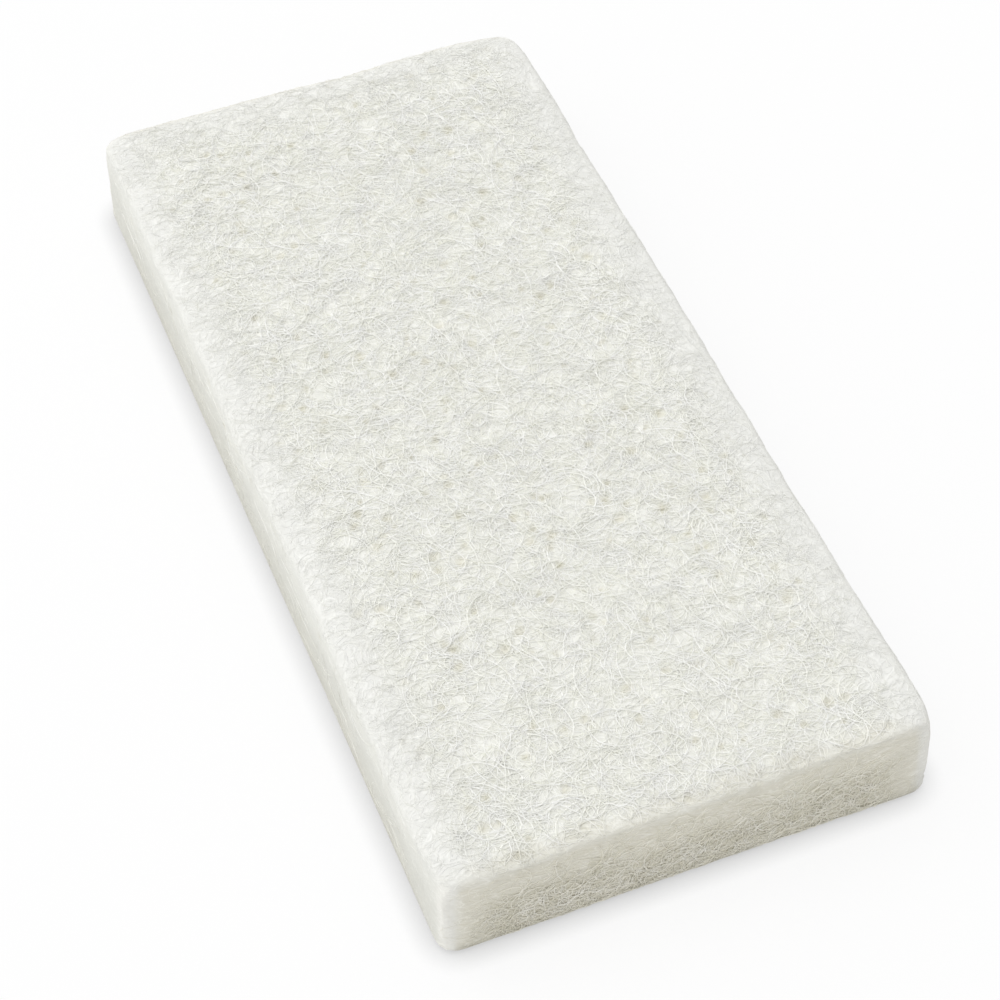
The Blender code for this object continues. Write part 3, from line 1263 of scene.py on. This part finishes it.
        wander_phase = add_node(tree, "ShaderNodeMath", {"operation": "ADD"}, {0: phase, 1: self.WANDER_SHIFT})
        wander = add_node(
            tree, "ShaderNodeTexNoise", {"noise_dimensions": "4D"},
            {"Vector": place, "W": wander_phase, "Scale": weave_scale, "Detail": 0.0},
        )
        swing = add_node(
            tree, "ShaderNodeMapRange", {"clamp": False},
            {"Value": wander, "From Min": NOISE_LIMITS[0], "From Max": NOISE_LIMITS[1],
             "To Min": self.SWING_SHARES[0], "To Max": self.SWING_SHARES[1]},
        )
        turn = add_node(
            tree, "ShaderNodeMath", {"operation": "MULTIPLY"},
            {0: self.kept("walk_bend"), 1: self.kept("walk_stride")},
        )
        turn = add_node(tree, "ShaderNodeMath", {"operation": "MULTIPLY"}, {0: turn, 1: swing})
        turned = add_node(
            tree, "ShaderNodeVectorRotate", {"rotation_type": "AXIS_ANGLE"},
            {"Vector": heading, "Axis": normal, "Angle": turn},
        )
        step = add_node(
            tree, "ShaderNodeVectorMath", {"operation": "SCALE"},
            {0: turned, "Scale": self.kept("walk_stride")},
        )
        ahead = add_node(tree, "ShaderNodeVectorMath", {"operation": "ADD"}, {0: place, 1: step})
        centre, reach = nearest_pore(tree, ahead, given)
        away = add_node(tree, "ShaderNodeVectorMath", {"operation": "SUBTRACT"}, {0: ahead, 1: centre})
        distance = add_node(tree, "ShaderNodeVectorMath", {"operation": "LENGTH"}, {0: away}, output=1)
        lack = add_node(
            tree, "ShaderNodeMath", {"operation": "SUBTRACT", "use_clamp": True}, {0: reach, 1: distance}
        )
        lack = add_node(tree, "ShaderNodeMath", {"operation": "MULTIPLY"}, {0: lack, 1: self.PORE_PUSH})
        outwards = add_node(tree, "ShaderNodeVectorMath", {"operation": "NORMALIZE"}, {0: away})
        push = add_node(tree, "ShaderNodeVectorMath", {"operation": "SCALE"}, {0: outwards, "Scale": lack})
        steered = add_node(tree, "ShaderNodeVectorMath", {"operation": "ADD"}, {0: ahead, 1: push})
        landed = add_node(
            tree, "GeometryNodeProximity", {"target_element": "FACES"},
            {0: given["Carrier"], "Sample Position": steered},
        )
        new_normal = self.near("FLOAT_VECTOR", add_node(tree, "GeometryNodeInputNormal"), steered)
        new_normal = add_node(tree, "ShaderNodeVectorMath", {"operation": "NORMALIZE"}, {0: new_normal})
        # A fibre that leaves its own face is turned back up or down towards it.
        facing_up = add_node(tree, "ShaderNodeSeparateXYZ", inputs={0: new_normal}, output=2)
        astray = add_node(tree, "ShaderNodeMath", {"operation": "SUBTRACT"}, {0: given["Home"], 1: facing_up})
        call = add_node(tree, "ShaderNodeMath", {"operation": "MULTIPLY"}, {0: astray, 1: given["Fence"]})
        back = add_node(tree, "ShaderNodeCombineXYZ", inputs={2: call})
        called = add_node(tree, "ShaderNodeVectorMath", {"operation": "ADD"}, {0: turned, 1: back})
        lift = add_node(
            tree, "ShaderNodeVectorMath", {"operation": "DOT_PRODUCT"}, {0: called, 1: new_normal}, output=1
        )
        lifted = add_node(tree, "ShaderNodeVectorMath", {"operation": "SCALE"}, {0: new_normal, "Scale": lift})
        level = add_node(tree, "ShaderNodeVectorMath", {"operation": "SUBTRACT"}, {0: called, 1: lifted})
        level = add_node(tree, "ShaderNodeVectorMath", {"operation": "NORMALIZE"}, {0: level})

        capture = tree.nodes.new("GeometryNodeCaptureAttribute")
        for i, (label, value) in enumerate((("place", landed), ("normal", new_normal), ("heading", level))):
            capture.capture_items.new("VECTOR", label)
            tree.links.new(value, capture.inputs[1 + i])
        tree.links.new(current, capture.inputs[0])
        moved = add_node(
            tree, "GeometryNodeSetPosition",
            inputs={"Geometry": capture.outputs[0], "Position": capture.outputs[1]},
        )
        moved = self.keep(moved, "walk_normal", capture.outputs[2], "FLOAT_VECTOR")
        moved = self.keep(moved, "walk_heading", capture.outputs[3], "FLOAT_VECTOR")
        tree.links.new(moved, zone_out.inputs["Geometry"])
        tree.links.new(longer, zone_out.inputs["Trail"])
        return zone_out.outputs["Trail"]

    def thicken(self, trail: bpy.types.NodeSocket, walkers: bpy.types.NodeSocket) -> bpy.types.NodeSocket:
        """Turns the trail into three-sided strands, each with its own cell of the OFBake map.

        Args:
            trail: all stops of all fibres.
            walkers: the fibres' starts, for their number.

        Returns:
            The strands as a mesh.
        """
        tree, given = self.tree, self.given
        curves = add_node(
            tree, "GeometryNodePointsToCurves",
            inputs={0: trail, 1: self.kept("walk_fibre", "INT"), 2: self.kept("walk_along")},
        )
        curves = add_node(tree, "GeometryNodeSetCurveRadius", inputs={"Curve": curves, "Radius": 1.0})
        profile = add_node(
            tree, "GeometryNodeCurvePrimitiveCircle", {"mode": "RADIUS"}, {"Resolution": self.SIDES, 4: 1.0}
        )
        profile = self.keep(profile, "walk_round", add_node(tree, "GeometryNodeInputIndex"))
        scale = add_node(
            tree, "ShaderNodeMath", {"operation": "MULTIPLY"},
            {0: self.kept("walk_thick"), 1: given["Thickness"]},
        )
        scale = add_node(tree, "ShaderNodeMath", {"operation": "MULTIPLY"}, {0: scale, 1: self.kept("walk_hug")})
        strands = add_node(
            tree, "GeometryNodeCurveToMesh",
            inputs={0: curves, 1: profile, "Scale": scale, "Fill Caps": True},
        )

        count = add_node(tree, "GeometryNodeAttributeDomainSize", {"component": "POINTCLOUD"}, {0: walkers})
        root = add_node(tree, "ShaderNodeMath", {"operation": "SQRT"}, {0: count})
        cells = add_node(tree, "ShaderNodeMath", {"operation": "CEIL"}, {0: root})
        fibre, around = self.kept("walk_fibre", "INT"), self.kept("walk_round")
        column = add_node(tree, "ShaderNodeMath", {"operation": "MODULO"}, {0: fibre, 1: cells})
        row = add_node(tree, "ShaderNodeMath", {"operation": "DIVIDE"}, {0: fibre, 1: cells})
        row = add_node(tree, "ShaderNodeMath", {"operation": "FLOOR"}, {0: row})
        # The third face of a strand runs from its last edge back to its first: there the first counts as 3.
        mean = add_node(
            tree, "GeometryNodeFieldOnDomain", {"data_type": "FLOAT", "domain": "FACE"}, {0: around}
        )
        off = add_node(tree, "ShaderNodeMath", {"operation": "SUBTRACT"}, {0: mean, 1: 1.0})
        off = add_node(tree, "ShaderNodeMath", {"operation": "ABSOLUTE"}, {0: off})
        closing = add_node(tree, "ShaderNodeMath", {"operation": "LESS_THAN"}, {0: off, 1: 0.25})
        first = add_node(tree, "ShaderNodeMath", {"operation": "LESS_THAN"}, {0: around, 1: 0.5})
        both = add_node(tree, "ShaderNodeMath", {"operation": "MULTIPLY"}, {0: closing, 1: first})
        third = add_node(
            tree, "ShaderNodeMath", {"operation": "MULTIPLY_ADD"}, {0: both, 1: float(self.SIDES), 2: around}
        )
        low, high = self.CELL_LIMITS
        across = add_node(
            tree, "ShaderNodeMapRange",
            inputs={"Value": third, "From Min": 0.0, "From Max": float(self.SIDES),
                    "To Min": low, "To Max": high},
        )
        length = add_node(
            tree, "ShaderNodeMapRange",
            inputs={"Value": self.kept("walk_along"), "To Min": low, "To Max": high},
        )
        u = add_node(tree, "ShaderNodeMath", {"operation": "ADD"}, {0: column, 1: length})
        v = add_node(tree, "ShaderNodeMath", {"operation": "ADD"}, {0: row, 1: across})
        u = add_node(tree, "ShaderNodeMath", {"operation": "DIVIDE"}, {0: u, 1: cells})
        v = add_node(tree, "ShaderNodeMath", {"operation": "DIVIDE"}, {0: v, 1: cells})
        spot = add_node(tree, "ShaderNodeCombineXYZ", inputs={0: u, 1: v})
        mapped = add_node(
            tree, "GeometryNodeStoreNamedAttribute", {"data_type": "FLOAT2", "domain": "CORNER"},
            {"Geometry": strands, "Name": "OFBake", "Value": spot},
        )
        return add_node(tree, "GeometryNodeSetShadeSmooth", inputs={0: mapped, "Shade Smooth": False})


@dataclass(frozen=True)
class Studio:
    """White floor, even white surroundings and one broad soft lamp above and behind the pad's left."""

    floor_half: float = 4.0
    floor_colour: str = "F0F0F0"
    shadow_reach: float = 5.9 * MM
    shadow_strength: float = 0.5
    white_share: float = 0.85
    dome_strength: float = 0.847
    dome_tilt: tuple[float, float, float] = (-0.32, 0.24, 0.20)
    lamp_size: float = 1.4
    lamp_distance: float = 1.6
    lamp_power: float = 4.0
    lamp_from: tuple[float, float, float] = (-0.25, 0.30, 0.92)

    def build(self) -> None:
        """Sets up the floor, the world and the lamp."""
        self.build_floor()
        self.build_world()
        self.build_lamp()

    def build_floor(self) -> None:
        """Makes the floor, which isn't part of the object."""
        half = self.floor_half
        mesh = bpy.data.meshes.new("studio_floor")
        corners = [(-half, -half, 0), (half, -half, 0), (half, half, 0), (-half, half, 0)]
        mesh.from_pydata(corners, [], [(0, 1, 2, 3)])
        material = bpy.data.materials.new("white paper sweep")
        material.use_nodes = True
        tree = material.node_tree
        tree.nodes.clear()
        paper = add_node(
            tree, "ShaderNodeBsdfPrincipled",
            inputs={"Base Color": linear(self.floor_colour), "Roughness": 1.0, "Specular IOR Level": 0.0},
        )
        # To the camera the paper is white, apart from a narrow painted shadow where the pad meets it: the
        # white's strength falls with ambient occlusion.
        open_share = add_node(
            tree, "ShaderNodeAmbientOcclusion", inputs={"Distance": self.shadow_reach}, output="AO"
        )
        shade = add_node(
            tree, "ShaderNodeMapRange",
            inputs={"Value": open_share, "To Min": 1.0 - self.shadow_strength, "To Max": 1.0},
        )
        white = add_node(tree, "ShaderNodeEmission", inputs={"Color": linear("FFFFFF"), "Strength": shade})
        seen = add_node(tree, "ShaderNodeLightPath", output="Is Camera Ray")
        share = add_node(tree, "ShaderNodeMath", {"operation": "MULTIPLY"}, {0: seen, 1: self.white_share})
        mixed = add_node(tree, "ShaderNodeMixShader", inputs={0: share, 1: paper, 2: white})
        add_node(tree, "ShaderNodeOutputMaterial", inputs={"Surface": mixed})
        mesh.materials.append(material)
        floor = bpy.data.objects.new("studio_floor", mesh)
        bpy.context.scene.collection.objects.link(floor)

    def build_world(self) -> None:
        """Makes the even surroundings: white to the camera, a little weaker as light."""
        world = bpy.data.worlds.new("white studio")
        bpy.context.scene.world = world
        world.use_nodes = True
        tree = world.node_tree
        tree.nodes.clear()
        seen = add_node(tree, "ShaderNodeLightPath", output="Is Camera Ray")
        way = add_node(tree, "ShaderNodeTexCoord", output="Generated")
        tilt = add_node(
            tree, "ShaderNodeVectorMath", {"operation": "DOT_PRODUCT"}, {0: way, 1: self.dome_tilt}, output=1
        )
        strength = add_node(tree, "ShaderNodeMath", {"operation": "ADD"}, {0: tilt, 1: self.dome_strength})
        light = add_node(tree, "ShaderNodeBackground", inputs={"Color": linear("FFFFFF"), "Strength": strength})
        plain = add_node(tree, "ShaderNodeBackground", inputs={"Color": linear("FFFFFF"), "Strength": 1.0})
        mixed = add_node(tree, "ShaderNodeMixShader", inputs={0: seen, 1: light, 2: plain})
        add_node(tree, "ShaderNodeOutputWorld", inputs={"Surface": mixed})

    def build_lamp(self) -> None:
        """Makes the soft lamp."""
        data = bpy.data.lights.new("soft_lamp", "AREA")
        data.shape = "DISK"
        data.size = self.lamp_size
        data.energy = self.lamp_power
        lamp = bpy.data.objects.new("soft_lamp", data)
        way = Vector(self.lamp_from).normalized()
        aim = way.to_track_quat("Z", "Y").to_matrix().to_4x4()
        lamp.matrix_world = Matrix.Translation(way * self.lamp_distance) @ aim
        bpy.context.scene.collection.objects.link(lamp)


@dataclass(frozen=True)
class PhotoCamera:
    """The camera, as fitted to the pad's outline in the photograph.

    Angles are in degrees and lengths in metres, apart from the lens and the sensor, which are in millimetres.
    """

    azimuth: float = 20.82
    elevation: float = 49.88
    roll: float = -1.11
    distance: float = 0.67688
    target: tuple[float, float, float] = (-0.00207, -0.01755, 0.010)
    lens: float = 100.62
    sensor: float = 36.0
    nearest: float = 0.01
    farthest: float = 50.0

    def build(self) -> None:
        """Makes the camera and sets it as the scene's."""
        azimuth, elevation, roll = (math.radians(a) for a in (self.azimuth, self.elevation, self.roll))
        forward = Vector((
            math.sin(azimuth) * math.cos(elevation),
            math.cos(azimuth) * math.cos(elevation),
            -math.sin(elevation),
        ))
        right = forward.cross(Vector((0.0, 0.0, 1.0))).normalized()
        up = right.cross(forward)
        rolled_right = right * math.cos(roll) + up * math.sin(roll)
        rolled_up = up * math.cos(roll) - right * math.sin(roll)
        data = bpy.data.cameras.new("photo_camera")
        data.lens = self.lens
        data.sensor_width = self.sensor
        data.clip_start = self.nearest
        data.clip_end = self.farthest
        camera = bpy.data.objects.new("photo_camera", data)
        turn = Matrix((rolled_right, rolled_up, -forward)).transposed().to_4x4()
        camera.matrix_world = Matrix.Translation(Vector(self.target) - forward * self.distance) @ turn
        bpy.context.scene.collection.objects.link(camera)
        bpy.context.scene.camera = camera


def fibre_layers() -> list[FibreWeb]:
    """The layers of free strands, from the deepest to the outermost."""
    # One white staple in lit and shaded copies: painted shade makes the deep strands a shade darker, and the
    # strands of the long sides and short ends darker and warmer, more so towards the bench; painted light makes
    # the rim strands a shade whiter, for the glow of the rim.
    deep = StrandFinish("resin bonded staple, deep strands", pale="F6F6F2", warm="F2F2E9")
    upper = StrandFinish("resin bonded staple, upper strands", pale="FAFAF8", warm="F8F8F2")
    rim = StrandFinish("resin bonded staple, rim strands", pale="FEFEFD", warm="FBFBF8")
    side = StrandFinish("resin bonded staple, long cut sides", pale="F7F7F3", warm="E3E2D9",
                        bench_shade_share=1.0, rim="E2E2DC", turned_share=0.0)
    end = StrandFinish("resin bonded staple, short cut ends", pale="F9F7EF", warm="EDEADD",
                       bench_shade_share=0.8, bench_shade_height=8.0 * MM, rim="E8E6DA", turned_share=0.0)
    layered = StrandFinish("resin bonded staple, layers of the short cut ends", pale="F5F3E9", warm="ECE9DC",
                           rim_share=0.0, turned_share=0.0)
    return [
        FibreWeb("top_web_deep", Region.TOP, deep, 180000, 11, steps=5,
                 height_low=-0.1 * MM, height_high=0.3 * MM, thickness=0.115 * MM,
                 bend_tight=2.0 * MM, bend_loose=15.0 * MM, stride_least=1.0 * MM),
        FibreWeb("top_web_middle", Region.TOP, upper, 148000, 23,
                 height_low=0.1 * MM, height_high=0.52 * MM, thickness=0.085 * MM,
                 bend_tight=1.6 * MM, bend_loose=10.0 * MM, stride_least=0.7 * MM),
        FibreWeb("top_web_fine", Region.TOP, upper, 105000, 97,
                 height_low=0.18 * MM, height_high=0.6 * MM, thickness=0.07 * MM,
                 bend_tight=1.4 * MM, bend_loose=6.0 * MM, stride_least=0.6 * MM),
        FibreWeb("top_web_crown", Region.TOP, upper, 90000, 37, steps=9,
                 height_low=0.25 * MM, height_high=0.72 * MM, thickness=0.08 * MM,
                 bend_tight=2.4 * MM, bend_loose=25.0 * MM, stride_most=2.1 * MM),
        FibreWeb("rim_fuzz", Region.RIM, rim, 400000, 41,
                 height_low=0.1 * MM, height_high=0.5 * MM, thickness=0.07 * MM,
                 bend_tight=1.6 * MM, bend_loose=9.0 * MM),
        FibreWeb("side_layers", Region.LONG_SIDES, side, 24000, 53,
                 height_low=-0.05 * MM, height_high=0.05 * MM, thickness=0.055 * MM,
                 bend_tight=6.0 * MM, bend_loose=60.0 * MM, stride_most=2.2 * MM, grain=0.85, home=0.0),
        FibreWeb("end_layers", Region.SHORT_ENDS, layered, 150000, 67,
                 height_low=0.0, height_high=0.15 * MM, thickness=0.058 * MM,
                 bend_tight=4.0 * MM, bend_loose=40.0 * MM, grain=0.85, home=0.0),
        FibreWeb("end_curls", Region.LOWER_ENDS, end, 650000, 83,
                 height_low=0.08 * MM, height_high=0.5 * MM, thickness=0.082 * MM,
                 bend_tight=1.4 * MM, bend_loose=8.0 * MM, stride_least=0.7 * MM, grain=0.2, home=0.0),
        FibreWeb("underside_web", Region.UNDERSIDE, deep, 30000, 71,
                 height_low=0.0, height_high=0.1 * MM, thickness=0.09 * MM, home=-1.0),
    ]


def report(piece: bpy.types.Object) -> int:
    """Reports a finished piece.

    Args:
        piece: the piece.

    Returns:
        Its number of triangles.
    """
    triangles = sum(len(face.vertices) - 2 for face in piece.data.polygons)
    LOG.info("%s: %d triangles", piece.name, triangles)
    return triangles


def main() -> None:
    """Builds the camera, the studio, the body and the layers of strands, in that order."""
    logging.basicConfig(level=logging.INFO, format="%(message)s")
    bpy.context.scene.view_settings.view_transform = "Standard"
    PhotoCamera().build()
    Studio().build()
    pores = Pores()
    body = PadBody(pores, BodyFinish()).build()
    total = report(body)
    crawl = CrawlTree().tree
    for layer in fibre_layers():
        total += report(layer.build(body.data, crawl, pores))
    LOG.info("all pieces: %d triangles", total)


if __name__ == "__main__":
    main()
